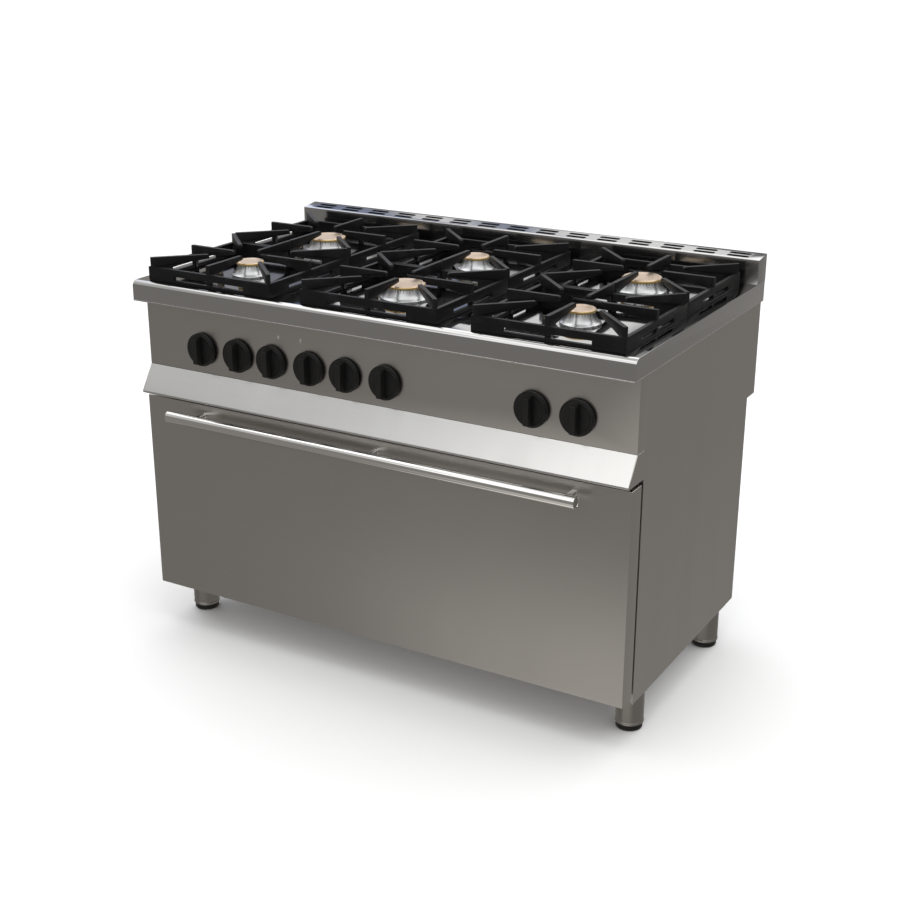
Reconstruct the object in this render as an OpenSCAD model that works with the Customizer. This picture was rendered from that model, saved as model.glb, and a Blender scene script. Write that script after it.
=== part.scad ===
// Commercial gas range: six open burners over a full-width drop-door oven.
// Frame: +Z up, front toward -Y, origin on the floor under the middle of the overall box.
// Inside the modules Y is measured back from the front edge of the worktop, and place() moves it.

/* [Body] */
// Overall width across the worktop
hob_w = 1200; // [1180:10:1240]
// Depth of the worktop and flue
hob_d = 700; // [690:5:720]
// Height of the worktop surface above the floor
hob_z = 840; // [830:5:860]
// Height of the worktop's folded apron
apron_h = 45; // [40:1:50]
// Radius of the worktop's rolled front edge
roll_r = 14; // [8:1:16]
// How far the flue riser's front stands above the worktop
riser_h = 54; // [52:1:80]
// How much higher the flue riser's back edge is
riser_slope = 6; // [0:1:10]
// Depth of the flue riser and of the rear flue box
riser_d = 49; // [46:1:52]
// Thickness of the folded sheet panels
sheet = 1.5; // [1:0.25:2]
// Thickness of the worktop's sheet
hob_wall = 2; // [1.5:0.5:3]

/* [Door] */
// Thickness of the oven door
door_t = 44; // [43:1:50]
// Height of the oven door's bottom edge
door_z0 = 107; // [105:1:110]
// Height of the oven door's top edge
door_z1 = 573; // [568:1:576]
// Diameter of the handle tube
handle_dia = 26; // [22:1:28]
// Length of the handle tube
handle_len = 1000; // [960:10:1060]
// How far the handle's centre stands off the door
handle_off = 46; // [42:1:52]

/* [Oven] */
// Width inside the oven
oven_w = 960; // [900:10:970]
// Depth inside the oven
oven_d = 520; // [480:5:525]

/* [Burners] */
// Spacing of the burner columns
burner_pitch = 405; // [400:1:410]
// Radius of the three large burner caps
cap_r_large = 43; // [40:1:45]
// Radius of the three small burner caps
cap_r_small = 31; // [28:1:34]
// Height of the burner cap's top above the worktop
cap_top = 33; // [31:1:34]

/* [Grates] */
// Width of one grate
grate_w = 327; // [315:1:330]
// Depth of one grate
grate_d = 300; // [290:1:300]
// Height of the fins above the worktop
grate_h = 50; // [46:1:52]
// Height of the grate's frame walls
wall_h = 30; // [26:1:32]

/* [Controls] */
// Radius of the knob skirts
knob_r = 37; // [34:1:40]
// Height of the knob centres above the floor
knob_z = 697; // [692:1:704]
// How far each tap pushes in
push = 3; // [2:0.5:3]

/* [Feet] */
// Radius of the tubular legs
leg_r = 31; // [27:0.5:31]
// Distance of the foot centres from the worktop's ends
foot_inset = 38; // [38:1:50]

/* [Hidden] */
$fn = 48;
door_y = 21;
panel_y = 38;
handle_y = door_y - handle_off;
front_reach = handle_dia / 2 - handle_y;
place_y = front_reach - (hob_d + front_reach) / 2;
body_x = hob_w / 2 - 5;
inner_x = body_x - sheet;
apron_z = hob_z - apron_h;
side_y = 75;
side_z = 89;
frame_y = side_y + sheet;
back_y = hob_d - riser_d;
step_z = 582;
rear_y = hob_d - 3;
panel_z = 642;
frame_top = panel_z + 10;
deflect_z = 586;
deflect_y = 3;
liner_z0 = 150;
liner_z1 = 530;
liner_back = frame_y + 2.5 + oven_d;
liner_x = oven_w / 2;
wool = 30;
sole_z = 195;
base_top = side_z + 25;
rest_gap = 0.3;
rail_z = 768;
front_row = 172;
rear_row = 473;
burner_x = [-burner_pitch, 0, burner_pitch];
// Burners as [x, y, large], front row first
burners = [for (row = [0, 1]) for (col = [0, 1, 2])
    [burner_x[col], row == 0 ? front_row : rear_row, (row == 0) == (col == 1)]];
knob_x = [-442, -344, -254, -156, -65, 34, 371, 470];
tap_z0 = knob_z - 20;
manifold_y = 116;
foot_y = [139, 569];
foot_x = [-1, 1] * (hob_w / 2 - foot_inset);
pad_h = 14;
pad_inset = 2.5;
stem_r = 6;
stem_h = 46;
hinge_x = 542;
hinge_y = 56;
hinge_z = 117;
pin_r = 4;
post_x = [-437, 18, 473];
handle_z = 549;
slot_pitch = 78;
rack_levels = [262, 332, 402];
inlet_x = 560;
inlet_z = 530;
pipe_r = 9;
stub_r = 10.5;
stub_y = back_y + 10;
drop_y = 560;
steel = "#6b6762";
bright = "#b4b6b0";
enamel = "#1d1d20";
alloy = "#a9acaf";
brass = "#c99a55";

// Helpers
module place() translate([0, place_y, 0]) children();
module box(x0, x1, y0, y1, z0, z1)
    translate([x0, y0, z0]) cube([x1 - x0, y1 - y0, z1 - z0]);
module mirrored() { children(); mirror([1, 0, 0]) children(); }
module rod_x(x0, x1, y, z, r) translate([x0, y, z]) rotate([0, 90, 0]) cylinder(r = r, h = x1 - x0);
module rod_y(x, y0, y1, z, r) translate([x, y0, z]) rotate([-90, 0, 0]) cylinder(r = r, h = y1 - y0);
module rod_z(x, y, z0, z1, r) translate([x, y, z0]) cylinder(r = r, h = z1 - z0);
module elbow(x, y, z, r) translate([x, y, z]) sphere(r = r);
// Extrudes a (y, z) outline along X, centred
module along_x(w) rotate([90, 0, 90]) translate([0, 0, -w / 2]) linear_extrude(w) children();

// Carcase
module side_panel() place() {
    color(steel) {
        box(inner_x, body_x, side_y, back_y, side_z, hob_z - 8);
        box(inner_x, body_x, back_y - 1, rear_y, step_z, hob_z - 8);
        box(body_x - 20, body_x, side_y, frame_y, side_z, panel_z);
        box(body_x - 20, body_x, side_y, back_y, side_z, side_z + sheet);
        box(body_x - 12, body_x, back_y - sheet, back_y, side_z, step_z);
    }
}
module side_panel_right() side_panel();
module side_panel_left() mirror([1, 0, 0]) side_panel();

module back_panel() place() color(steel) difference() {
    box(-body_x + 12, body_x - 12, back_y - sheet, back_y, side_z + sheet, step_z);
    for (row = [0, 1], col = [-4.5:1:4.5])
        translate([col * 90 - 20, back_y - 5, 180 + row * 24]) cube([50, 10, 6]);
    rod_y(inlet_x, back_y - 5, back_y + 5, inlet_z, 13);
}

module base_frame() place() color(steel) difference() {
    x = body_x - 20;
    y = back_y - sheet;
    box(-x, x, frame_y, y, side_z, base_top);
    box(-x + 42, x - 42, frame_y + 42, y - 42, side_z + sheet, base_top + 1);
    box(-x + 2, x - 2, frame_y + 2, frame_y + 40, side_z + 2, base_top - 2);
    box(-x + 2, x - 2, y - 40, y - 2, side_z + 2, base_top - 2);
}

module front_frame() place() color(steel) difference() {
    union() {
        box(-inner_x, inner_x, frame_y, frame_y + 2.5, base_top, frame_top);
        mirrored() box(inner_x - 30, inner_x, frame_y, frame_y + 30, base_top, base_top + 2);
        box(-inner_x, inner_x, frame_y, frame_y + 18, frame_top - 2, frame_top);
    }
    box(-liner_x, liner_x, 0, 200, liner_z0, liner_z1);
}

module control_panel() place() color(steel) difference() {
    union() {
        box(-body_x, body_x, panel_y, panel_y + sheet, panel_z, hob_z - 4);
        mirrored() box(inner_x, body_x, panel_y, side_y, panel_z, hob_z - 4);
        box(-inner_x, inner_x, panel_y, side_y - 2, panel_z, panel_z + sheet);
    }
    for (x = knob_x) rod_y(x, panel_y - 5, panel_y + 5, knob_z, 7);
}

// Sloping strip that throws the oven's heat clear of the knobs, with closed ends
module heat_deflector() place() color(bright) {
    low = deflect_z - 4;
    along_x(2 * body_x) polygon([
        [panel_y, panel_z], [deflect_y, deflect_z], [deflect_y, low], [side_y, low],
        [side_y, low + sheet], [deflect_y + 3, low + sheet], [deflect_y + 3, deflect_z + 2],
        [panel_y + 3, panel_z]]);
    mirrored() translate([body_x - sheet / 2, 0, 0]) along_x(sheet) polygon([
        [panel_y, panel_z], [deflect_y, deflect_z], [deflect_y, low], [side_y, low],
        [side_y, panel_z]]);
}

// Side outline of the worktop with its rolled front edge, drawn in by a wall
module worktop_outline(wall) {
    translate([wall, apron_z - wall]) square([roll_r, apron_h - roll_r + wall]);
    translate([roll_r, apron_z - wall]) square([hob_d - roll_r - wall, apron_h]);
    translate([roll_r, hob_z - roll_r]) circle(r = roll_r - wall);
}
// Worktop with a rolled front edge, burner holes, pilot holes and a flue opening
module hob_top() place() color(bright) difference() {
    along_x(hob_w) worktop_outline(0);
    along_x(hob_w - 2 * hob_wall) worktop_outline(hob_wall);
    for (b = burners) {
        translate([b[0], b[1], hob_z - 5]) cylinder(r = 32, h = 10);
        translate([b[0], b[1], 0]) pilot_spots() cylinder(r = 7, h = hob_z + 5);
    }
    box(-560, 560, back_y + 12, rear_y - 12, hob_z - 5, hob_z + 5);
}
module pilot_spots() for (a = [220, 245]) rotate([0, 0, a]) translate([72, 0, 0]) children();

module hob_rails() place() color(steel) for (y = [front_row, rear_row]) difference() {
    box(-inner_x, inner_x, y - 30, y + 30, rail_z, rail_z + 10);
    box(-inner_x - 1, inner_x + 1, y - 28, y + 28, rail_z + 2, rail_z + 11);
}

// Rear flue box, open at the top, with the neck that carries the oven's exhaust into it
module flue_duct() place() color(steel) {
    difference() {
        box(-inner_x, inner_x, back_y, rear_y, step_z, hob_z - 4);
        box(-inner_x + 1, inner_x - 1, back_y + 1, rear_y - 1, step_z + 1, hob_z);
        box(-100, 100, back_y - 1, back_y + 2, 606, 640);
    }
    difference() {
        box(-102, 102, liner_back - 42, back_y, liner_z1 + sheet, 642);
        box(-100, 100, liner_back - 40, back_y + 1, 606, 640);
        box(-100, 100, liner_back - 40, liner_back - 8, liner_z1, 640);
        box(-110, 110, liner_back - 6, back_y + 1, liner_z1, 604);
    }
}

// Slotted upstand over the flue box, its top sloping up to the back
module riser_outline(wall) {
    top = hob_z + riser_h - wall;
    polygon([[back_y + wall, hob_z - wall], [back_y + wall, top], [hob_d - wall, top + riser_slope],
        [hob_d - wall, hob_z - wall]]);
}
module flue_riser() place() color(bright) difference() {
    along_x(hob_w) riser_outline(0);
    along_x(hob_w - 2 * sheet) riser_outline(sheet);
    for (i = [-7:7], row = [0, 1])
        box(i * slot_pitch - 25, i * slot_pitch + 25, back_y + 9 + row * 17, back_y + 20 + row * 17,
            hob_z, hob_z + riser_h + riser_slope + 1);
}

// Oven
module oven_liner() place() color(enamel) difference() {
    box(-liner_x - sheet, liner_x + sheet, frame_y + 2.5, liner_back + sheet,
        liner_z0 - sheet, liner_z1 + sheet);
    difference() {
        box(-liner_x, liner_x, 0, liner_back, liner_z0, liner_z1);
        mirrored() box(liner_x - 12, liner_x, frame_y + 2, liner_back, sole_z - 5, sole_z - 3);
    }
    box(-100, 100, liner_back - 40, liner_back - 8, liner_z1 - 1, liner_z1 + 5);
    rod_x(0, liner_x + 10, 130, 170, 11);
}

module oven_insulation() place() color("#c9b27a") difference() {
    box(-liner_x - wool, liner_x + wool, frame_y + 2.5, liner_back + wool,
        liner_z0 - wool, liner_z1 + wool);
    box(-liner_x - sheet, liner_x + sheet, frame_y, liner_back + sheet,
        liner_z0 - sheet, liner_z1 + sheet);
    box(-102, 102, liner_back - 42, liner_back + wool + 1, liner_z1, liner_z1 + wool + 1);
    rod_x(0, liner_x + wool + 5, 130, 170, 12);
}

module oven_sole_plate() place() color(enamel) difference() {
    box(-liner_x + 3, liner_x - 3, frame_y + 8, liner_back - 4, sole_z - 3, sole_z + 3);
    for (x = [-1, 1], i = [-3:3])
        box(x * (liner_x - 40) - 5, x * (liner_x - 40) + 5, 330 + i * 62, 370 + i * 62,
            sole_z - 4, sole_z + 4);
}

module oven_burner() place() color(steel) {
    rod_x(-330, liner_x + wool + 18, 130, 170, 10);
    for (x = [-330, 0, 330]) rod_y(x, 130, liner_back - 60, 170, 12);
}

module rack_guides() place() color(alloy) mirrored() {
    for (y = [120, 340, 560]) box(liner_x - 4, liner_x, y - 6, y + 6, sole_z + 4, 450);
    for (z = rack_levels) {
        box(liner_x - 8, liner_x - 4, 100, 580, z - 2, z + 16);
        box(liner_x - 18, liner_x - 8, 100, 580, z - 2, z);
    }
}

module oven_rack() place() color(alloy) {
    z = rack_levels[1] + 4;
    for (y = [105, 575]) rod_x(-liner_x + 12, liner_x - 12, y, z, 4);
    mirrored() rod_y(liner_x - 12, 105, 575, z, 4);
    for (y = [262, 418]) rod_x(-liner_x + 12, liner_x - 12, y, z - 2, 2);
    for (i = [-12:12]) rod_y(i * 36, 105, 575, z + 2, 2);
}

// Gas train
module gas_manifold() place() color(steel) rod_x(-480, inlet_x - 24, manifold_y, knob_z, 12);

// Pipe from the manifold's end, down the right side to a male stub with a hexagon shoulder
module gas_inlet_pipe() place() color(steel) {
    rod_x(inlet_x - 24, inlet_x, manifold_y, knob_z, pipe_r);
    elbow(inlet_x, manifold_y, knob_z, pipe_r);
    rod_y(inlet_x, manifold_y, drop_y, knob_z, pipe_r);
    elbow(inlet_x, drop_y, knob_z, pipe_r);
    rod_z(inlet_x, drop_y, inlet_z, knob_z, pipe_r);
    elbow(inlet_x, drop_y, inlet_z, pipe_r);
    rod_y(inlet_x, drop_y, stub_y, inlet_z, pipe_r);
    translate([inlet_x, stub_y - 8, inlet_z]) rotate([-90, 0, 0]) cylinder(r = 15, h = 8, $fn = 6);
    rod_y(inlet_x, stub_y, hob_d - 10, inlet_z, stub_r);
}

module gas_taps() place() color(brass) for (i = [0:7]) difference() {
    half = i < 6 ? 13 : 22;
    box(knob_x[i] - half, knob_x[i] + half, 58, manifold_y - 12, tap_z0 - (i < 6 ? 0 : 12), knob_z + 16);
    rod_y(knob_x[i], 50, 86, knob_z, pin_r + 0.06);
}

module supply_tube(x, b, z) {
    inlet_y = b[1] - 94.5;
    rod_z(x, 76, knob_z + 16, z, 4);
    elbow(x, 76, z, 4);
    rod_x(min(x, b[0]), max(x, b[0]), 76, z, 4);
    elbow(b[0], 76, z, 4);
    if (inlet_y > 90) rod_y(b[0], 76, inlet_y, z, 4);
    elbow(b[0], inlet_y > 90 ? inlet_y : 76, z, 4);
    rod_z(b[0], inlet_y > 90 ? inlet_y : 76, z, 790, 4);
}
// The two oven taps feed one pipe down the right side to the oven burner
module supply_tubes() place() color("#b87a4a") {
    for (i = [0:5]) supply_tube(knob_x[i], burners[[0, 3, 1, 4, 2, 5][i]], 757 - i * 7);
    rod_x(knob_x[6], inlet_x - 16, 80, tap_z0 - 17, 5);
    elbow(inlet_x - 16, 80, tap_z0 - 17, 5);
    rod_y(inlet_x - 16, 80, 130, tap_z0 - 17, 5);
    elbow(inlet_x - 16, 130, tap_z0 - 17, 5);
    rod_z(inlet_x - 16, 130, 165, tap_z0 - 17, 5);
    elbow(inlet_x - 16, 130, 165, 5);
    rod_x(liner_x + wool + 18, inlet_x - 16, 130, 165, 5);
}

module burner_cups() place() color("#55565a") for (b = burners) {
    translate([b[0], b[1], rail_z + 2]) difference() {
        union() {
            cylinder(r = 27, h = hob_z - rail_z + 6);
            rod_y(0, -90, 0, 20, 11);
        }
        translate([0, 0, 30]) cylinder(r = 22, h = 60);
        rod_y(0, -95, -30, 20, 8);
    }
}

// Flared burner crowns, hollow inside
module burner_heads() place() color(alloy) for (b = burners) {
    top_r = (b[2] ? cap_r_large : cap_r_small) - 4;
    foot_r = top_r + 15;
    translate([b[0], b[1], hob_z]) rotate_extrude() polygon([
        [27.5, 0], [foot_r, 0], [foot_r, 4], [foot_r - 6, 8], [top_r + 1, cap_top - 8],
        [top_r, cap_top - 7], [20, cap_top - 7], [20, cap_top - 12], [27.5, 10]]);
}

module burner_caps() place() color(brass) for (b = burners) {
    r = b[2] ? cap_r_large : cap_r_small;
    translate([b[0], b[1], hob_z]) rotate_extrude() polygon([
        [0, cap_top - 7], [r - 1.5, cap_top - 7], [r, cap_top - 5], [r, cap_top - 2.5],
        [r - 3, cap_top], [r - 8, cap_top], [r - 9.5, cap_top - 1], [0, cap_top - 1]]);
}

module pilot_burners() place() color(brass) for (b = burners)
    translate([b[0], b[1], rail_z + 20]) pilot_spots() {
        cylinder(r = 5, h = hob_z - rail_z);
        translate([0, 0, hob_z - rail_z - 20]) cylinder(r = 9, h = 2);
    }

// Feet
module leg_tubes() place() color(alloy) for (x = foot_x, y = foot_y) translate([x, y, 0])
    difference() {
        translate([0, 0, pad_h + 0.5]) cylinder(r = leg_r, h = side_z - pad_h - 0.5);
        translate([0, 0, pad_h]) cylinder(r = leg_r - 2, h = 20);
        translate([0, 0, pad_h]) cylinder(r = stem_r + 0.06, h = stem_h + 14);
    }

module foot(i) place() color("#17171a")
    translate([foot_x[i % 2], foot_y[i < 2 ? 0 : 1], 0]) {
        cylinder(r1 = leg_r - pad_inset - 1.5, r2 = leg_r - pad_inset, h = 2);
        translate([0, 0, 2]) cylinder(r = leg_r - pad_inset, h = pad_h - 2);
        translate([0, 0, pad_h]) cylinder(r = stem_r, h = stem_h);
    }

// Door
module door_outer() place() color(steel) difference() {
    box(-body_x, body_x, door_y, door_y + door_t, door_z0, door_z1);
    box(-inner_x, inner_x, door_y + sheet, door_y + door_t + 1, door_z0 + sheet, door_z1 - sheet);
    mirrored() box(hinge_x - 8, hinge_x + 8, door_y + 18, door_y + door_t + 1, door_z0 - 1, door_z0 + 3);
}

module door_inner() place() color(bright) difference() {
    box(-inner_x, inner_x, door_y + door_t - 3, door_y + door_t - sheet,
        door_z0 + sheet, door_z1 - sheet);
    mirrored() box(hinge_x - 8, hinge_x + 8, 0, 200, door_z0, hinge_z + 22);
}

module door_insulation() place() color("#c9b27a") difference() {
    box(-inner_x + 8, inner_x - 8, door_y + sheet, door_y + door_t - 3, door_z0 + 6, door_z1 - 6);
    mirrored() box(hinge_x - 24, hinge_x + 24, door_y + 16, 200, door_z0, hinge_z + 26);
}

module door_seal() place() color("#3a3936") difference() {
    box(-liner_x - 26, liner_x + 26, door_y + door_t - sheet, frame_y - 0.4, liner_z0 - 16, liner_z1 + 16);
    box(-liner_x - 14, liner_x + 14, 0, 200, liner_z0 - 4, liner_z1 + 4);
}

module door_handle() place() color(alloy) {
    difference() {
        rod_x(-handle_len / 2, handle_len / 2, handle_y, handle_z, handle_dia / 2);
        rod_x(-handle_len / 2 + 3, handle_len / 2 - 3, handle_y, handle_z, handle_dia / 2 - 1.5);
    }
    for (x = post_x) rod_y(x, handle_y + handle_dia / 2 - 1, door_y, handle_z, 6);
}

// Hinges: a fixed plate and pin on the frame, and two ears on the door that turn round the pin
module hinge_brackets() place() color(alloy) mirrored() {
    box(hinge_x - 2.5, hinge_x + 2.5, hinge_y, frame_y, hinge_z - 7, hinge_z + 7);
    rod_x(hinge_x - 2.5, hinge_x + 2.5, hinge_y, hinge_z, 7);
    rod_x(hinge_x - 18, hinge_x + 18, hinge_y, hinge_z, pin_r);
    box(hinge_x - 7, hinge_x + 7, frame_y - sheet, frame_y, hinge_z - 9, hinge_z + 16);
}

module door_hinge_ears() place() color(steel) mirrored() for (s = [-1, 1]) difference() {
    translate([hinge_x + s * 13 - 3, hinge_y - 12, door_z0 + sheet])
        cube([6, door_y + door_t - 3 - hinge_y + 12, hinge_z - door_z0 + 10]);
    rod_x(hinge_x - 20, hinge_x + 20, hinge_y, hinge_z, pin_r + 0.06);
}

// Controls
module spindle(i) place() color(brass) rod_y(knob_x[i], 16, 78, knob_z, pin_r);

module knob(i) place() color(enamel) translate([knob_x[i], panel_y - push - 0.6, knob_z])
    rotate([90, 0, 0]) difference() {
        union() {
            cylinder(r = knob_r, h = 6);
            translate([0, 0, 6]) cylinder(r = knob_r - 3, h = 3);
            intersection() {
                translate([-8, -knob_r, 0]) cube([16, 2 * knob_r, 26]);
                cylinder(r = knob_r - 1, h = 26);
            }
        }
        translate([0, 0, -1]) cylinder(r = pin_r + 0.06, h = 20.5);
    }

// Grates: a slotted square frame, four corner fins and four middle fingers with level tops
module finger(len) rotate([90, 0, 0]) translate([0, 0, -4.5]) linear_extrude(9)
    polygon([[0, 0], [0, grate_h], [len, grate_h], [len, grate_h - 9], [14, wall_h - 4], [10, 0]]);
module grate(i) place() color(enamel) {
    b = burners[i];
    w = grate_w;
    d = grate_d;
    translate([b[0], b[1], hob_z + rest_gap]) {
        difference() {
            box(-w / 2, w / 2, -d / 2, d / 2, 0, wall_h);
            box(-w / 2 + 9, w / 2 - 9, -d / 2 + 9, d / 2 - 9, -1, wall_h + 1);
            box(-94, 94, -d, d, 6, 15);
            box(-w, w, -80, 80, 6, 15);
        }
        for (a = [0, 180]) rotate([0, 0, a]) {
            translate([-w / 2 + 1, 0, 0]) finger(118);
            translate([0, -d / 2 + 1, 0]) rotate([0, 0, 90]) finger(118);
            for (s = [-1, 1]) scale([1, s, 1])
                translate([-w / 2 + 3.5, -d / 2 + 3.5, 0]) rotate([0, 0, 45]) finger(128);
        }
    }
}

// Fasteners: two dome studs on the control panel, and the back panel's screws
module fasteners() place() color(bright) {
    for (x = [-236, -178]) rod_y(x, panel_y - 2, panel_y, 753, 5);
    mirrored() for (z = [140, 340, 540]) rod_y(body_x - 7, back_y, back_y + 2, z, 4);
}

side_panel_left();
side_panel_right();
back_panel();
base_frame();
front_frame();
control_panel();
heat_deflector();
hob_top();
hob_rails();
flue_duct();
flue_riser();
oven_liner();
oven_insulation();
oven_sole_plate();
oven_burner();
rack_guides();
oven_rack();
gas_manifold();
gas_inlet_pipe();
gas_taps();
supply_tubes();
burner_cups();
burner_heads();
burner_caps();
pilot_burners();
leg_tubes();
hinge_brackets();
fasteners();
door_outer();
door_inner();
door_insulation();
door_seal();
door_handle();
door_hinge_ears();
spindle(0);  // spindle_1
spindle(1);  // spindle_2
spindle(2);  // spindle_3
spindle(3);  // spindle_4
spindle(4);  // spindle_5
spindle(5);  // spindle_6
spindle(6);  // spindle_7
spindle(7);  // spindle_8
knob(0);  // knob_1
knob(1);  // knob_2
knob(2);  // knob_3
knob(3);  // knob_4
knob(4);  // knob_5
knob(5);  // knob_6
knob(6);  // knob_7
knob(7);  // knob_8
grate(0);  // grate_1
grate(1);  // grate_2
grate(2);  // grate_3
grate(3);  // grate_4
grate(4);  // grate_5
grate(5);  // grate_6
foot(0);  // foot_1
foot(1);  // foot_2
foot(2);  // foot_3
foot(3);  // foot_4
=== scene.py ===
import math
import bmesh
import bpy
from mathutils import Matrix, Vector


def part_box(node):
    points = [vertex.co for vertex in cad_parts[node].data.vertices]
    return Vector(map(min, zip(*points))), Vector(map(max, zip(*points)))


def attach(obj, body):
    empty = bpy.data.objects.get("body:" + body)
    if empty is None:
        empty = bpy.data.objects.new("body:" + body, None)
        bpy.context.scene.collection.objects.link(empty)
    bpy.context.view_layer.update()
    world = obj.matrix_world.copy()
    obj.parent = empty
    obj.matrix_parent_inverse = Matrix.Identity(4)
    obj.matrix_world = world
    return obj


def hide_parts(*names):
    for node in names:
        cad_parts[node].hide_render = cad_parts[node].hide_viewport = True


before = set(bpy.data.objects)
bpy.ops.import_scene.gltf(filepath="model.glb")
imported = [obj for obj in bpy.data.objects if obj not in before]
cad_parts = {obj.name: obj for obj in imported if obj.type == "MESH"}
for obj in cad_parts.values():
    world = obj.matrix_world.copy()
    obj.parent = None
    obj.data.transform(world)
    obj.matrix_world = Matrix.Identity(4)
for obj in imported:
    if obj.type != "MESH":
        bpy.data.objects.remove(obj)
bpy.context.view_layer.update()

mm = 0.001
through = 20 * mm  # how far a cutter reaches past a sheet
at = {name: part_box(name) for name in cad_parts}
grateNames = [f"grate_{i}" for i in range(1, 7)]
knobNames = [f"knob_{i}" for i in range(1, 9)]
footNames = [f"foot_{i}" for i in range(1, 5)]
hobLow, hobHigh = at["hob_top"]
hobFront, hobZ = hobLow.y, hobHigh.z


def millimetres(**sizes):
    return {key: size * mm for key, size in sizes.items()}


print("frame loaded:", len(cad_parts), "nodes")


# A new object, linked to the scene
def placed(name, data):
    made = bpy.data.objects.new(name, data)
    bpy.context.scene.collection.objects.link(made)
    return made


def middle(name):
    return (at[name][0] + at[name][1]) / 2


burnerSpots = [Vector((middle(name).x, middle(name).y, hobZ)) for name in grateNames]


# An output socket in a shader or geometry tree; sums and products of it add Math nodes
class Link:
    def __init__(self, graph, socket):
        self.graph = graph
        self.socket = socket

    def math(self, operation, first, second):
        return self.graph.add("ShaderNodeMath", {"operation": operation}, {0: first, 1: second})

    def __add__(self, other):
        return self.math("ADD", self, other)

    def __radd__(self, other):
        return self.math("ADD", other, self)

    def __sub__(self, other):
        return self.math("SUBTRACT", self, other)

    def __rsub__(self, other):
        return self.math("SUBTRACT", other, self)

    def __mul__(self, other):
        return self.math("MULTIPLY", self, other)

    def __rmul__(self, other):
        return self.math("MULTIPLY", other, self)


class Graph:
    def __init__(self, tree, owner=None):
        self.tree, self.owner = tree, owner

    # Any node: its type, the settings made first, then the values or links of its sockets
    def add(self, kind, settings=None, sockets=None, out=0):
        node = self.tree.nodes.new(kind)
        for key, value in (settings or {}).items():
            if key == "stops":
                elements = node.color_ramp.elements
                for position, colour in value[1:-1]:
                    elements.new(position)
                for element, (position, colour) in zip(elements, value):
                    element.position, element.color = position, colour
            else:
                setattr(node, key, value)
        for key, value in (sockets or {}).items():
            for one in value if isinstance(value, list) else [value]:
                if isinstance(one, Link):
                    self.tree.links.new(one.socket, node.inputs[key])
                else:
                    node.inputs[key].default_value = one
        return Link(self, node.outputs[out]) if len(node.outputs) else None

    def mix(self, factor, first, second, blend="MIX"):
        settings = {"data_type": "RGBA", "blend_type": blend}
        return self.add("ShaderNodeMix", settings, {0: factor, 6: first, 7: second}, 2)

    def noise(self, place, scale, detail=2.0, rough=0.5):
        sockets = {"Vector": place, "Scale": scale, "Detail": detail, "Roughness": rough}
        return self.add("ShaderNodeTexNoise", {}, sockets)

    def stretched(self, place, scale, turn=(0, 0, 0)):
        return self.add("ShaderNodeMapping", {}, {"Vector": place, "Scale": scale, "Rotation": turn})

    def spread(self, value, low, high, newLow=0.0, newHigh=1.0):
        sockets = {0: value, 1: low, 2: high, 3: newLow, 4: newHigh}
        return self.add("ShaderNodeMapRange", {"clamp": True}, sockets)

    def bump(self, height, strength, distance, under=None):
        sockets = {"Height": height, "Strength": strength, "Distance": distance}
        if under:
            sockets["Normal"] = under
        return self.add("ShaderNodeBump", {}, sockets)

    def parts(self, vector):
        node = self.add("ShaderNodeSeparateXYZ", {}, {0: vector}).socket.node
        return [Link(self, output) for output in node.outputs]

    def vector(self, x=0.0, y=0.0, z=0.0):
        return self.add("ShaderNodeCombineXYZ", {}, {0: x, 1: y, 2: z})

    def grey(self, value):
        return self.add("ShaderNodeCombineColor", {}, {0: value, 1: value, 2: value})


def rgb(red, green, blue):
    return (red, green, blue, 1.0)


def emptied(owner):
    owner.use_nodes = True
    owner.node_tree.nodes.clear()
    return Graph(owner.node_tree, owner)


# Starts a material: its graph, and the object's own coordinates
def newMaterial(name):
    graph = emptied(bpy.data.materials.new(name))
    return graph, graph.add("ShaderNodeTexCoord", {}, {}, "Object")


# Closes a material: what varies over the surface, then what is the same all over it
def shade(graph, colour, roughness, normal, fixed):
    sockets = {"Base Color": colour, "Roughness": roughness, **fixed}
    if normal:
        sockets["Normal"] = normal
    shader = graph.add("ShaderNodeBsdfPrincipled", {}, sockets)
    graph.add("ShaderNodeOutputMaterial", {}, {"Surface": shader})
    return graph.owner


# Satin-brushed sheet: hairlines along one axis, cloudy handling marks and a few wiped streaks
def brushedSteel(name, colour, rough, grain, marks=0.06, streak=(3, 9, 1.2)):
    graph, place = newMaterial(name)
    hair = graph.noise(graph.stretched(place, grain), 1.0, 3.0, 0.6)
    cloud = graph.noise(place, 2.6, 3.0, 0.55)
    wiped = graph.spread(graph.noise(graph.stretched(place, streak), 1.0, 4.0, 0.6), 0.45, 0.75)
    tone = 0.91 + hair * 0.10 + cloud * 0.06
    colour = graph.mix(1.0, rgb(*colour), graph.grey(tone), "MULTIPLY")
    roughness = rough + hair * 0.06 + wiped * marks
    return shade(graph, colour, roughness, graph.bump(hair, 0.06, 0.0003), {"Metallic": 1.0})


# Cast iron under black enamel: orange peel, soft swells, and duller dusty patches
def castEnamel():
    graph, place = newMaterial("cast_enamel")
    peel = graph.noise(place, 420.0, 3.0, 0.6)
    swell = graph.noise(place, 60.0, 2.0, 0.5)
    dust = graph.spread(graph.noise(place, 22.0, 4.0, 0.6), 0.5, 0.75)
    colour = graph.mix(dust, rgb(0.003, 0.003, 0.0035), rgb(0.009, 0.0085, 0.009))
    normal = graph.bump(swell, 0.2, 0.0012, graph.bump(peel, 0.2, 0.0005))
    return shade(graph, colour, 0.36 + peel * 0.12 + dust * 0.12, normal, {"Specular IOR Level": 0.22})


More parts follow.
